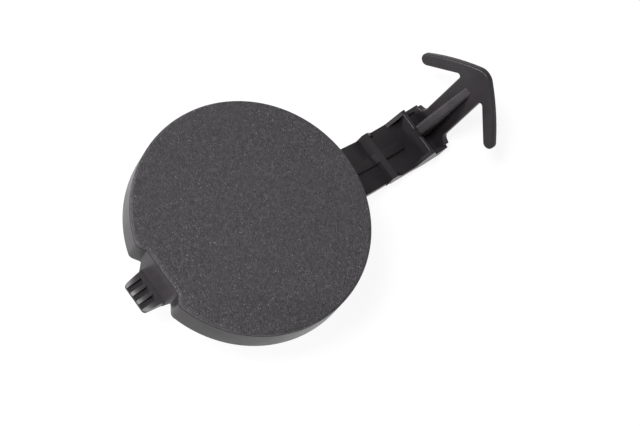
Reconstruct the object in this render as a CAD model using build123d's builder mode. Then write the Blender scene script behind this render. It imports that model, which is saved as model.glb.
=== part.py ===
from build123d import *
import os
from math import cos, radians, sin, sqrt

# One-piece moulded cover plug: a round cap with a plain skirt, a ribbed snap lug in a notch at -X,
# and a J-shaped retaining arm at +X that ends in an arrow-shaped anchor.
# Millimetres, +Z outwards, and X runs from the lug to the anchor. The sizes and the pieces below are
# drawn from the outer face, Z = 0 there, and the finished plug is then moved up onto its seat.

# ---- Cap ----
cap_radius = 30.0
skirt_height = 9.0          # outer face to the skirt's lower edge
plate_thickness = 2.4
skirt_wall = 1.6
face_edge_radius = 0.7      # rounding of the outer face's edge
skirt_edge_radius = 0.35    # rounding of the skirt's lower edge
face_lip = 1.2              # height of the plate's edge above the shadow groove
groove_width = 0.35
groove_depth = 0.3

# ---- Low stiffening ribs under the plate ----
plate_rib_width = 1.2
plate_rib_height = 1.5
plate_rib_x = (-13.0, 1.0)  # the two cross ribs; the third rib runs from the tongue to the strap

# ---- Notch for the lug ----
notch_depth = 2.9           # cap's edge to the notch's back wall
notch_floor_width = 12.7
notch_mouth_width = 17.2
notch_corner_radius = 1.1   # corners at the back wall
notch_mouth_radius = 1.8    # corners at the rim

# ---- Snap lug ----
tongue_thickness = 1.8
tongue_reach = 5.0          # how far the tongue hangs below the skirt
tongue_root_width = 12.0
tongue_tip_width = 9.6
lug_reach = 5.2             # how far the nose stands out from the back wall
lug_drop = 1.8              # skirt's lower edge to the ledge above the ribs
lug_ledge = 1.4             # depth of that ledge
rib_fall = 1.6              # fall of the ribs from ledge to nose
nose_height = 1.0
nose_width = 8.3
nose_corner_radius = 1.0
lug_rib_count = 4
lug_rib_width = 1.0
pocket_floor = 0.7          # web left under the pockets between the ribs

# ---- Strap: centre line in the plane Y = 0, and its width ----
root_inset = 14.0           # from the cap's edge inwards
knee_inset, knee_z = 12.0, -19.6
collar_reach, collar_z = 22.0, -30.6    # reaches are from the cap's edge outwards
heel_reach, heel_z = 40.5, -33.3
knee_radius = 12.0
collar_bend_radius = 14.0
strap_thickness = 2.0
root_width = 15.0
waist_width = 13.4
bend_width = 13.9

# ---- Walls of the bend ----
collar_rise = 3.6           # collar above the strap's centre line
collar_length = 1.8
wall_thickness = 1.1
slope_reach, slope_z = 26.0, -30.6
dip_reach, dip_z = 30.0, -31.6
gusset_reach, gusset_z = 34.6, -26.8
step_reach, step_z = 37.9, -31.0    # side walls between the heel wall and the neck
wall_edge_radius = 0.3

# ---- Central rib of the arm ----
rib_width = 2.5
rib_edge_radius = 0.5
root_rib_height = 2.6       # above the strap's centre line, from cap to collar
root_rib_run = 7.8          # its length under the plate
ramp_end_reach, ramp_end_z = 30.5, -29.4
ramp_foot_reach = 31.5
neck_rib_foot = 2.6         # foot of the neck's rib above the heel wall
neck_rib_toe = 0.5          # how far that foot stands in front of the heel wall
neck_rib_top = 18.6         # where it runs out, along the neck

# ---- Neck and anchor, drawn on the middle plane of the neck ----
neck_base_reach, neck_base_z = 42.0, -29.0
neck_angle = 72.0
blade_thickness = 1.9       # neck and anchor alike
blade_edge_radius = 0.45
neck_width = 8.3
neck_fillet = 1.6
shoulder_width = 12.4
shoulder_slope = 0.7
crotch_height = 18.4        # shoulders to the crotch, along the neck
crown_height = 25.6         # shoulders to the top of the anchor
crown_radius = 4.0
crotch_radius = 0.7
barb_bar = 3.2              # width of each barb
barb_angle = 45.5           # barbs from the neck's axis
anchor_span = 30.3          # over the rounded tips
anchor_bow = 0.7            # bulge of the barbs' outer edge

# ---- Places that follow the cap's size ----
notch_floor_x = cap_radius - notch_depth
root_x = cap_radius - root_inset
knee_x = cap_radius - knee_inset
collar_x = cap_radius + collar_reach
wall_slope_x = cap_radius + slope_reach
wall_dip_x = cap_radius + dip_reach
ramp_end_x = cap_radius + ramp_end_reach
ramp_foot_x = cap_radius + ramp_foot_reach
gusset_x = cap_radius + gusset_reach
step_x = cap_radius + step_reach
heel_x = cap_radius + heel_reach
neck_base_x = cap_radius + neck_base_reach

os.makedirs("parts", exist_ok=True)

# ---- Cap ----
with BuildSketch() as cap_outline:
    Circle(cap_radius)
    with BuildLine():
        mouth_x = -sqrt(cap_radius**2 - (notch_mouth_width / 2) ** 2)
        outside_x = -cap_radius - skirt_wall
        Polyline(
            (outside_x, notch_mouth_width / 2),
            (mouth_x, notch_mouth_width / 2),
            (-notch_floor_x, notch_floor_width / 2),
            (-notch_floor_x, -notch_floor_width / 2),
            (mouth_x, -notch_mouth_width / 2),
            (outside_x, -notch_mouth_width / 2),
            close=True,
        )
    make_face(mode=Mode.SUBTRACT)
    notch_corners = cap_outline.vertices().filter_by(lambda v: v.X < 0).sort_by(Axis.Y)
    fillet([notch_corners[0], notch_corners[-1]], notch_mouth_radius)
    notch_corners = cap_outline.vertices().filter_by(lambda v: v.X < 0).sort_by_distance((-notch_floor_x, 0))
    fillet(notch_corners[:2], notch_corner_radius)

with BuildPart() as cap:
    add(cap_outline.sketch)
    extrude(amount=-skirt_height)
    fillet(cap.faces().sort_by(Axis.Z)[-1].edges(), face_edge_radius)
    fillet(cap.faces().sort_by(Axis.Z)[0].edges(), skirt_edge_radius)
    with BuildSketch(Plane.XY.offset(-face_lip)):
        add(cap_outline.sketch)
        offset(cap_outline.sketch, amount=-groove_depth, mode=Mode.SUBTRACT)
    extrude(amount=-groove_width, mode=Mode.SUBTRACT)
    with BuildSketch(Plane.XY.offset(-plate_thickness)):
        offset(cap_outline.sketch, amount=-skirt_wall)
    extrude(amount=-skirt_height, mode=Mode.SUBTRACT)

# ---- Stiffening ribs under the plate ----
with BuildPart() as plate_ribs:
    with BuildSketch(Plane.XY.offset(-plate_thickness)):
        for cross_x in plate_rib_x:
            with Locations((cross_x, 0)):
                Rectangle(plate_rib_width, 2 * cap_radius)
        with Locations((-notch_floor_x, 0)):
            Rectangle(notch_floor_x + root_x, plate_rib_width, align=(Align.MIN, Align.CENTER))
    extrude(amount=-plate_rib_height)
    with BuildSketch(Plane.XY.offset(-plate_thickness)):
        add(cap_outline.sketch)
        offset(cap_outline.sketch, amount=-skirt_wall / 2, mode=Mode.INTERSECT)
    extrude(amount=-plate_rib_height, mode=Mode.INTERSECT)

# ---- Lug: a tongue below the notch's back wall, with a ribbed wedge on its outer side ----
ledge_z = -skirt_height - lug_drop
nose_x = -notch_floor_x - lug_reach
nose_z = ledge_z - rib_fall
lug_bottom_z = nose_z - nose_height
tongue_tip_z = -skirt_height - tongue_reach
tongue_back_x = -notch_floor_x + tongue_thickness
pocket_count = lug_rib_count - 1
pocket_width = (nose_width - lug_rib_count * lug_rib_width) / pocket_count

with BuildPart() as lug:
    with BuildSketch(Plane.XZ):
        with BuildLine():
            Polyline(
                (tongue_back_x, ledge_z),
                (-notch_floor_x - lug_ledge, ledge_z),
                (nose_x, nose_z),
                (nose_x, lug_bottom_z),
                (tongue_back_x, lug_bottom_z),
                close=True,
            )
        make_face()
    extrude(amount=tongue_root_width / 2, both=True)
    # Plan of the wedge: it narrows towards the nose
    with BuildSketch(Plane.XY.offset(ledge_z)):
        with BuildLine():
            Polyline(
                (tongue_back_x, tongue_tip_width / 2),
                (-notch_floor_x, tongue_tip_width / 2),
                (nose_x, nose_width / 2),
                (nose_x, -nose_width / 2),
                (-notch_floor_x, -tongue_tip_width / 2),
                (tongue_back_x, -tongue_tip_width / 2),
                close=True,
            )
        plan = make_face()
        fillet(plan.vertices().sort_by(Axis.X)[:2], nose_corner_radius)
    extrude(amount=lug_bottom_z - ledge_z, mode=Mode.INTERSECT)
    # Pockets between the ribs, open upwards and outwards
    with BuildSketch(Plane.XY.offset(lug_bottom_z + pocket_floor)):
        with Locations((-notch_floor_x - lug_ledge, 0)):
            with GridLocations(0, pocket_width + lug_rib_width, 1, pocket_count):
                Rectangle(lug_reach, pocket_width, align=(Align.MAX, Align.CENTER))
    extrude(amount=ledge_z - lug_bottom_z, mode=Mode.SUBTRACT)
    # Tongue
    with BuildSketch(Plane.YZ.offset(-notch_floor_x)):
        with BuildLine():
            Polyline(
                (-tongue_root_width / 2, -plate_thickness),
                (-tongue_root_width / 2, -skirt_height),
                (-tongue_tip_width / 2, tongue_tip_z),
                (tongue_tip_width / 2, tongue_tip_z),
                (tongue_root_width / 2, -skirt_height),
                (tongue_root_width / 2, -plate_thickness),
                close=True,
            )
        make_face()
    extrude(amount=tongue_thickness)

# ---- Strap: from the plate down to the heel, narrowing to its waist ----
floor_z = heel_z - strap_thickness / 2
with BuildPart() as strap:
    with BuildSketch(Plane.XZ):
        with BuildLine():
            FilletPolyline(
                (root_x, -plate_thickness / 2),
                (knee_x, knee_z),
                (collar_x, collar_z),
                (heel_x, heel_z),
                radius=(knee_radius, collar_bend_radius),
            )
        trace(line_width=strap_thickness)
    extrude(amount=root_width / 2, both=True)
    with BuildSketch():
        with BuildLine():
            Polyline(
                (root_x - strap_thickness, root_width / 2),
                (knee_x, root_width / 2),
                (collar_x, waist_width / 2),
                (collar_x, bend_width / 2),
                (heel_x + strap_thickness, bend_width / 2),
                (heel_x + strap_thickness, -bend_width / 2),
                (collar_x, -bend_width / 2),
                (collar_x, -waist_width / 2),
                (knee_x, -root_width / 2),
                (root_x - strap_thickness, -root_width / 2),
                close=True,
            )
        make_face()
    extrude(amount=floor_z - strap_thickness, mode=Mode.INTERSECT)

# ---- Collar and heel wall, across the bend ----
with BuildPart() as cross_walls:
    with BuildSketch(Plane.XZ):
        with BuildLine():
            Polyline(
                (collar_x - collar_length, collar_z),
                (collar_x - collar_length / 2, collar_z + collar_rise),
                (collar_x + collar_length / 2, collar_z + collar_rise),
                (collar_x + collar_length, collar_z),
                close=True,
            )
        make_face()
        with BuildLine():
            Polyline(
                (gusset_x, floor_z),
                (gusset_x, gusset_z),
                (gusset_x + wall_thickness, gusset_z),
                (gusset_x + wall_thickness, floor_z),
                close=True,
            )
        make_face()
    extrude(amount=bend_width / 2, both=True)
    fillet(cross_walls.edges().filter_by(Axis.Y).group_by(Axis.Z)[-1], wall_edge_radius)

# ---- Side walls of the bend ----
with BuildPart() as side_walls:
    with BuildSketch(Plane.XZ.offset(bend_width / 2 - wall_thickness)):
        with BuildLine():
            Polyline(
                (collar_x, collar_z),
                (collar_x, collar_z + collar_rise),
                (collar_x + collar_length / 2, collar_z + collar_rise),
                (wall_slope_x, slope_z),
                (wall_dip_x, dip_z),
                (gusset_x, gusset_z),
                (gusset_x + wall_thickness, gusset_z),
                (step_x, step_z),
                (neck_base_x, step_z),
                (heel_x, floor_z),
                (gusset_x, floor_z),
                close=True,
            )
        make_face()
    extrude(amount=wall_thickness)
    mirror(about=Plane.XZ)

# ---- Central rib: along the strap, a ramp in the bend, and a web up the neck ----
neck_dx, neck_dz = cos(radians(neck_angle)), sin(radians(neck_angle))
with BuildPart() as strap_rib:
    with BuildSketch(Plane.XZ):
        with BuildLine():
            Polyline(
                (root_x, -plate_thickness / 2),
                (root_x + root_rib_run, -plate_thickness / 2),
                (knee_x + root_rib_height, knee_z + root_rib_height),
                (collar_x - collar_length, collar_z + root_rib_height),
                (collar_x - collar_length / 2, collar_z + collar_rise),
                (ramp_end_x, ramp_end_z),
                (ramp_foot_x, floor_z + strap_thickness / 2),
                (collar_x, collar_z),
                (knee_x, knee_z),
                close=True,
            )
        make_face()
    extrude(amount=rib_width / 2, both=True)

with BuildPart() as neck_rib:
    with BuildSketch(Plane.XZ):
        with BuildLine():
            Polyline(
                (gusset_x - neck_rib_toe, gusset_z + neck_rib_foot),
                (neck_base_x + neck_rib_top * neck_dx, neck_base_z + neck_rib_top * neck_dz),
                (neck_base_x, neck_base_z),
                (heel_x, heel_z),
                (gusset_x + wall_thickness, heel_z),
                (gusset_x, gusset_z),
                close=True,
            )
        make_face()
    extrude(amount=rib_width / 2, both=True)
    rib_crest = neck_rib.faces().sort_by(Axis.Z)[-1]
    fillet(rib_crest.edges().filter_by(Axis.Y, reverse=True), rib_edge_radius)

# ---- Blade: the neck with its shoulders and the anchor, one outline on the neck's plane ----
neck_plane = Plane(
    origin=(neck_base_x, 0, neck_base_z),
    x_dir=(0, -1, 0),
    z_dir=(-neck_dz, 0, neck_dx),
)
neck_foot = (floor_z - neck_base_z) / neck_dz
barb_cos, barb_sin = cos(radians(barb_angle)), sin(radians(barb_angle))
tip_u = (anchor_span - barb_bar) / 2
tip_v = crotch_height + (barb_bar / 2 - (tip_u - neck_width / 2) * barb_cos) / barb_sin
tip_out_u, tip_out_v = tip_u + barb_bar / 2 * barb_cos, tip_v + barb_bar / 2 * barb_sin
tip_in_u, tip_in_v = tip_u - barb_bar / 2 * barb_cos, tip_v - barb_bar / 2 * barb_sin
tip_end_u, tip_end_v = tip_u + barb_bar / 2 * barb_sin, tip_v - barb_bar / 2 * barb_cos
bow_u = tip_out_u / 2 + anchor_bow * barb_cos
bow_v = (crown_height + tip_out_v) / 2 + anchor_bow * barb_sin

with BuildPart() as blade:
    with BuildSketch(neck_plane) as blade_outline:
        with BuildLine():
            Polyline(
                (shoulder_width / 2, neck_foot),
                (shoulder_width / 2, -shoulder_slope),
                (neck_width / 2, 0),
                (neck_width / 2, crotch_height + barb_bar / 2),
                (-neck_width / 2, crotch_height + barb_bar / 2),
                (-neck_width / 2, 0),
                (-shoulder_width / 2, -shoulder_slope),
                (-shoulder_width / 2, neck_foot),
                close=True,
            )
        make_face()
        with BuildLine():
            ThreePointArc((0, crown_height), (bow_u, bow_v), (tip_out_u, tip_out_v))
            ThreePointArc((tip_out_u, tip_out_v), (tip_end_u, tip_end_v), (tip_in_u, tip_in_v))
            Polyline((tip_in_u, tip_in_v), (neck_width / 2, crotch_height), (0, crotch_height))
            mirror(about=Plane.YZ)
        make_face()
        fillet(blade_outline.vertices().sort_by(Axis.Y)[-1], crown_radius)
        fillet(blade_outline.vertices().sort_by_distance((neck_width / 2, 0))[0], neck_fillet)
        fillet(blade_outline.vertices().sort_by_distance((-neck_width / 2, 0))[0], neck_fillet)
        fillet(blade_outline.vertices().sort_by_distance((neck_width / 2, crotch_height))[0], crotch_radius)
        fillet(blade_outline.vertices().sort_by_distance((-neck_width / 2, crotch_height))[0], crotch_radius)
    extrude(amount=blade_thickness / 2, both=True)
    across = Axis(neck_plane.origin, neck_plane.z_dir)
    fillet(blade.faces().sort_by(across)[0].edges(), blade_edge_radius)
    fillet(blade.faces().sort_by(across)[-1].edges(), blade_edge_radius)

# ---- The whole plug, moved up so that its seat, the skirt's lower edge, lies at Z = 0 ----
with BuildPart() as hole_plug:
    with Locations((0, 0, skirt_height)):
        add(cap.part)
        add(plate_ribs.part)
        add(lug.part)
        add(strap.part)
        add(cross_walls.part)
        add(side_walls.part)
        add(strap_rib.part)
        add(neck_rib.part)
        add(blade.part)

hole_plug.part.label = "hole_plug"
export_step(hole_plug.part, "parts/hole_plug.step")
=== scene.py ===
from math import cos, radians, sin

import bmesh
import bpy
from mathutils import Matrix, Vector


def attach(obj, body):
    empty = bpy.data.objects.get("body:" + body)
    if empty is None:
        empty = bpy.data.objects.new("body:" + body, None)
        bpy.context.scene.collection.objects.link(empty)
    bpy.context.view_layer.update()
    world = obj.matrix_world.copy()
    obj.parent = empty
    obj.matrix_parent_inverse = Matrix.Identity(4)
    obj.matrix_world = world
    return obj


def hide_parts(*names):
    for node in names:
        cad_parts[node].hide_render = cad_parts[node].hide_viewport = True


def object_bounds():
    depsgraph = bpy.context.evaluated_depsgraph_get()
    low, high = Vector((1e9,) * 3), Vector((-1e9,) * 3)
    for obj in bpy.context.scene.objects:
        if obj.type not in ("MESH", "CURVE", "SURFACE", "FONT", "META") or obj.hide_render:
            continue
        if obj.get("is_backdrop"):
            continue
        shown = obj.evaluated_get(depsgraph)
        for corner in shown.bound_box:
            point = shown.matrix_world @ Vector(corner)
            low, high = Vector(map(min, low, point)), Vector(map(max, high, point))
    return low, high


# A one-piece moulded cover plug: grained outer face, satin skirt and arm. Metres.

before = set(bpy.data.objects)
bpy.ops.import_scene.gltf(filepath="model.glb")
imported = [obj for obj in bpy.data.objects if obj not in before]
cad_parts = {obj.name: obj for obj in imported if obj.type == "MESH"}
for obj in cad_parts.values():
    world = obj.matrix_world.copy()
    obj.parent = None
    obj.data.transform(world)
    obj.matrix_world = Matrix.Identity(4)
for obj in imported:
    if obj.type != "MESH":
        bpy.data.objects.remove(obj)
cad_low, cad_high = (Vector(corner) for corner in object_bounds())

MM = 0.001
face_z = cad_high.z                 # the outer face
lip_height = 1.2 * MM               # grained edge of the plate, above the shadow groove
grain_limit = face_z - lip_height - 0.1 * MM
weld_distance = 0.002 * MM          # joins the loose triangles of the CAD mesh
crease_angle = radians(28)          # edges sharper than this stay crisp
MIX_A, MIX_B, MIX_RESULT = 6, 7, 2  # the colour sockets of a Mix node

# ---- Shades of the one plastic ----
charcoal = (0.034, 0.0305, 0.035)
charcoal_light = (0.062, 0.056, 0.063)
charcoal_dark = (0.014, 0.012, 0.0145)
satin = (0.020, 0.0175, 0.0195)
satin_light = (0.025, 0.022, 0.0245)
satin_dark = (0.015, 0.0133, 0.0146)
# painted highlight: a light colour painted onto the grain as glints
painted_glint_colour = (0.16, 0.155, 0.16)


def new_material(name):
    """An empty node material with its shader and the surface's own coordinates."""
    material = bpy.data.materials.new(name)
    material.use_nodes = True
    nodes, links = material.node_tree.nodes, material.node_tree.links
    nodes.clear()
    out = nodes.new("ShaderNodeOutputMaterial")
    shader = nodes.new("ShaderNodeBsdfPrincipled")
    links.new(shader.outputs["BSDF"], out.inputs["Surface"])
    coords = nodes.new("ShaderNodeTexCoord").outputs["Object"]
    return material, nodes, links, shader, coords


def noise(nodes, links, coords, scale, detail=2.0, rough=0.5, distortion=0.0):
    """A noise pattern; scale is in features per metre."""
    node = nodes.new("ShaderNodeTexNoise")
    node.inputs["Scale"].default_value = scale
    node.inputs["Detail"].default_value = detail
    node.inputs["Roughness"].default_value = rough
    node.inputs["Distortion"].default_value = distortion
    links.new(coords, node.inputs["Vector"])
    return node.outputs["Fac"]


def ramp(nodes, links, value, stops):
    """A colour or value ramp through (position, colour) stops."""
    node = nodes.new("ShaderNodeValToRGB")
    elements = node.color_ramp.elements
    while len(elements) < len(stops):
        elements.new(0.5)
    for element, (place, colour) in zip(elements, stops):
        element.position = place
        element.color = (*colour, 1.0)
    links.new(value, node.inputs["Fac"])
    return node.outputs["Color"]


def bump(nodes, links, height, distance, strength, under=None):
    """A bump of the given height map, over another bump if there is one."""
    node = nodes.new("ShaderNodeBump")
    node.inputs["Distance"].default_value = distance
    node.inputs["Strength"].default_value = strength
    links.new(height, node.inputs["Height"])
    if under is not None:
        links.new(under, node.inputs["Normal"])
    return node.outputs["Normal"]


def grey(level):
    return (level, level, level)


def grained_plastic():
    """Fine leather grain: tiny rounded pebbles and creases between them, with a few light specks painted
    into the colour as glints (painted highlights).
    """
    material, nodes, links, shader, coords = new_material("grained_plastic")
    wrinkles = noise(nodes, links, coords, 1500, detail=3, rough=0.6, distortion=1.4)
    pebbles = noise(nodes, links, coords, 2900, detail=2, rough=0.6, distortion=0.6)
    relief = bump(nodes, links, wrinkles, 0.00055, 0.9)
    relief = bump(nodes, links, pebbles, 0.00016, 0.8, relief)
    links.new(relief, shader.inputs["Normal"])
    shade = noise(nodes, links, coords, 1350, detail=2, rough=0.6, distortion=1.0)
    colour = ramp(nodes, links, shade, [(0.30, charcoal_dark), (0.52, charcoal), (0.72, charcoal_light)])
    # painted glints: a few specks of the face get the light glint colour mixed into their base colour
    glint_pattern = noise(nodes, links, coords, 2300, detail=1)
    painted_glint_share = ramp(nodes, links, glint_pattern, [(0.68, grey(0.0)), (0.76, grey(1.0))])
    with_painted_glints = nodes.new("ShaderNodeMix")
    with_painted_glints.data_type = "RGBA"
    links.new(painted_glint_share, with_painted_glints.inputs["Factor"])
    links.new(colour, with_painted_glints.inputs[MIX_A])
    with_painted_glints.inputs[MIX_B].default_value = (*painted_glint_colour, 1.0)
    links.new(with_painted_glints.outputs[MIX_RESULT], shader.inputs["Base Color"])
    gloss = noise(nodes, links, coords, 2100, detail=3)
    links.new(
        ramp(nodes, links, gloss, [(0.35, grey(0.60)), (0.65, grey(0.42))]), shader.inputs["Roughness"]
    )
    shader.inputs["Specular IOR Level"].default_value = 0.35
    return material


def satin_plastic():
    """The smooth moulded surface of the skirt, the lug and the arm."""
    material, nodes, links, shader, coords = new_material("satin_plastic")
    swirl = noise(nodes, links, coords, 90, detail=4, rough=0.55, distortion=0.6)
    colour = ramp(nodes, links, swirl, [(0.30, satin_dark), (0.55, satin), (0.75, satin_light)])
    links.new(colour, shader.inputs["Base Color"])
    gloss = noise(nodes, links, coords, 240, detail=4, rough=0.6)
    links.new(
        ramp(nodes, links, gloss, [(0.30, grey(0.36)), (0.70, grey(0.27))]), shader.inputs["Roughness"]
    )
    fine = noise(nodes, links, coords, 3200, detail=3)
    links.new(bump(nodes, links, fine, 0.000012, 0.5), shader.inputs["Normal"])
    shader.inputs["Specular IOR Level"].default_value = 0.2
    return material


# ---- The moulding ----
def moulding():
    """The moulded plug: the CAD form, grained on the outer face and satin everywhere else."""
    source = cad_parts["hole_plug"]
    shape = bmesh.new()
    shape.from_mesh(source.data)
    bmesh.ops.remove_doubles(shape, verts=shape.verts, dist=weld_distance)
    mesh = bpy.data.meshes.new("plug_moulding")
    grained, satin = grained_plastic(), satin_plastic()
    mesh.materials.append(satin)
    mesh.materials.append(grained)
    for face in shape.faces:
        face.smooth = True
        face.material_index = 1 if min(v.co.z for v in face.verts) > grain_limit else 0
    for edge in shape.edges:
        edge.smooth = len(edge.link_faces) == 2 and edge.calc_face_angle(0.0) < crease_angle
    shape.to_mesh(mesh)
    shape.free()
    piece = bpy.data.objects.new("plug_moulding", mesh)
    bpy.context.scene.collection.objects.link(piece)
    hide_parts("hole_plug")
    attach(piece, "root")


def pocket_corners():
    """Sloped inner corners behind the arm's collar, from the side walls down to the pocket's floor."""
    outer_y = 6.80 * MM         # inside the side walls
    collar_x, collar_floor, collar_top = 52.0 * MM, -21.6 * MM, -18.0 * MM
    corner_width, corner_length = 4.6 * MM, 4.2 * MM
    foot_floor, foot_top, foot_width = -22.3 * MM, -21.4 * MM, 1.0 * MM
    shape = bmesh.new()
    for side in (-1, 1):
        near = (
            (collar_x, side * outer_y, collar_floor),
            (collar_x, side * outer_y, collar_top),
            (collar_x, side * (outer_y - corner_width), collar_floor),
        )
        far_x = collar_x + corner_length
        far = (
            (far_x, side * outer_y, foot_floor),
            (far_x, side * outer_y, foot_top),
            (far_x, side * (outer_y - foot_width), foot_floor),
        )
        corners = [shape.verts.new(point) for point in near + far]
        bmesh.ops.convex_hull(shape, input=corners)
    bmesh.ops.recalc_face_normals(shape, faces=shape.faces)
    mesh = bpy.data.meshes.new("pocket_corners")
    shape.to_mesh(mesh)
    shape.free()
    mesh.materials.append(bpy.data.materials["satin_plastic"])
    piece = bpy.data.objects.new("pocket_corners", mesh)
    bpy.context.scene.collection.objects.link(piece)
    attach(piece, "root")


moulding()
pocket_corners()


# ---- Floor, background and light ----
floor_half = 2.5                    # half the floor's side
floor_share = 0.85                  # how far the seen floor goes towards plain white
floor_white = 1.05                  # strength of that white
fill_level = 0.15                   # even light from all round

# ---- Camera ----
sensor_width, focal_length = 36.0, 141.07               # millimetres
camera_azimuth, camera_elevation, camera_roll = -163.857, 62.574, 39.706    # degrees
camera_target = Vector((0.014864, -0.008135, face_z))   # on the outer face
camera_distance = 0.605535
near_clip, far_clip = 0.01, 20.0


def seen_share(nodes, links):
    """1 where the camera, a reflection or a lens looks, 0 for light that falls on the plug."""
    rays = nodes.new("ShaderNodeLightPath")
    share = rays.outputs["Is Camera Ray"]
    for kind in ("Is Glossy Ray", "Is Transmission Ray"):
        larger = nodes.new("ShaderNodeMath")
        larger.operation = "MAXIMUM"
        links.new(share, larger.inputs[0])
        links.new(rays.outputs[kind], larger.inputs[1])
        share = larger.outputs["Value"]
    return share


def pale_floor():
    """A wide pale floor at the arm's heel; it keeps the plug's soft shadow."""
    material = bpy.data.materials.new("pale_floor")
    material.use_nodes = True
    nodes, links = material.node_tree.nodes, material.node_tree.links
    nodes.clear()
    out = nodes.new("ShaderNodeOutputMaterial")
    matt = nodes.new("ShaderNodeBsdfDiffuse")
    matt.inputs["Color"].default_value = (0.86, 0.86, 0.86, 1)
    glow = nodes.new("ShaderNodeEmission")
    glow.inputs["Strength"].default_value = floor_white
    share = nodes.new("ShaderNodeMath")
    share.operation = "MULTIPLY"
    share.inputs[1].default_value = floor_share
    links.new(seen_share(nodes, links), share.inputs[0])
    both = nodes.new("ShaderNodeMixShader")
    links.new(share.outputs["Value"], both.inputs["Fac"])
    links.new(matt.outputs["BSDF"], both.inputs[1])
    links.new(glow.outputs["Emission"], both.inputs[2])
    links.new(both.outputs["Shader"], out.inputs["Surface"])
    grid = bmesh.new()
    bmesh.ops.create_grid(grid, x_segments=1, y_segments=1, size=floor_half)
    bmesh.ops.translate(grid, verts=grid.verts, vec=(0, 0, cad_low.z))
    mesh = bpy.data.meshes.new("floor")
    grid.to_mesh(mesh)
    grid.free()
    mesh.materials.append(material)
    floor = bpy.data.objects.new("floor", mesh)
    bpy.context.scene.collection.objects.link(floor)
    floor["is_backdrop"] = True


def white_world():
    """Even light all round, white where the camera, a mirror or a lens sees past the floor."""
    world = bpy.data.worlds.new("studio")
    bpy.context.scene.world = world
    world.use_nodes = True
    nodes, links = world.node_tree.nodes, world.node_tree.links
    nodes.clear()
    out = nodes.new("ShaderNodeOutputWorld")
    seen = nodes.new("ShaderNodeBackground")
    seen.inputs["Color"].default_value = (1, 1, 1, 1)
    seen.inputs["Strength"].default_value = 1.0
    fill = nodes.new("ShaderNodeBackground")
    fill.inputs["Color"].default_value = (1, 1, 1, 1)
    fill.inputs["Strength"].default_value = fill_level
    mix = nodes.new("ShaderNodeMixShader")
    links.new(seen_share(nodes, links), mix.inputs["Fac"])
    links.new(fill.outputs["Background"], mix.inputs[1])
    links.new(seen.outputs["Background"], mix.inputs[2])
    links.new(mix.outputs["Shader"], out.inputs["Surface"])


def direction(azimuth, elevation):
    """Unit vector towards a compass angle from +X and a height above the floor, both in degrees."""
    a, e = radians(azimuth), radians(elevation)
    return Vector((cos(e) * cos(a), cos(e) * sin(a), sin(e)))


def soft_box(name, azimuth, elevation, distance, size, power):
    """A square area lamp that points at the plug."""
    lamp = bpy.data.lights.new(name, "AREA")
    lamp.size, lamp.energy = size, power
    obj = bpy.data.objects.new(name, lamp)
    bpy.context.scene.collection.objects.link(obj)
    middle = (cad_low + cad_high) / 2
    towards = direction(azimuth, elevation)
    obj.location = middle + towards * distance
    obj.rotation_euler = towards.to_track_quat("Z", "Y").to_euler()


def camera():
    """A long lens above the lug's side of the plug, turned so that the arm points up to the right."""
    lens = bpy.data.cameras.new("camera")
    lens.sensor_width, lens.lens = sensor_width, focal_length
    lens.clip_start, lens.clip_end = near_clip, far_clip
    obj = bpy.data.objects.new("camera", lens)
    bpy.context.scene.collection.objects.link(obj)
    back = direction(camera_azimuth, camera_elevation)
    right = Vector((0, 0, 1)).cross(back).normalized()
    up = back.cross(right)
    roll = radians(camera_roll)
    turned_right = right * cos(roll) + up * sin(roll)
    turned_up = back.cross(turned_right)
    place = camera_target + back * camera_distance
    axes = Matrix((turned_right, turned_up, back)).transposed()
    obj.matrix_world = Matrix.Translation(place) @ axes.to_4x4()
    bpy.context.scene.camera = obj


pale_floor()
white_world()
soft_box("key_light", azimuth=165, elevation=62, distance=1.6, size=0.35, power=22.0)
soft_box("side_light", azimuth=150, elevation=16, distance=1.0, size=0.3, power=13.0)
camera()

scene = bpy.context.scene
scene.view_settings.view_transform = "Standard"
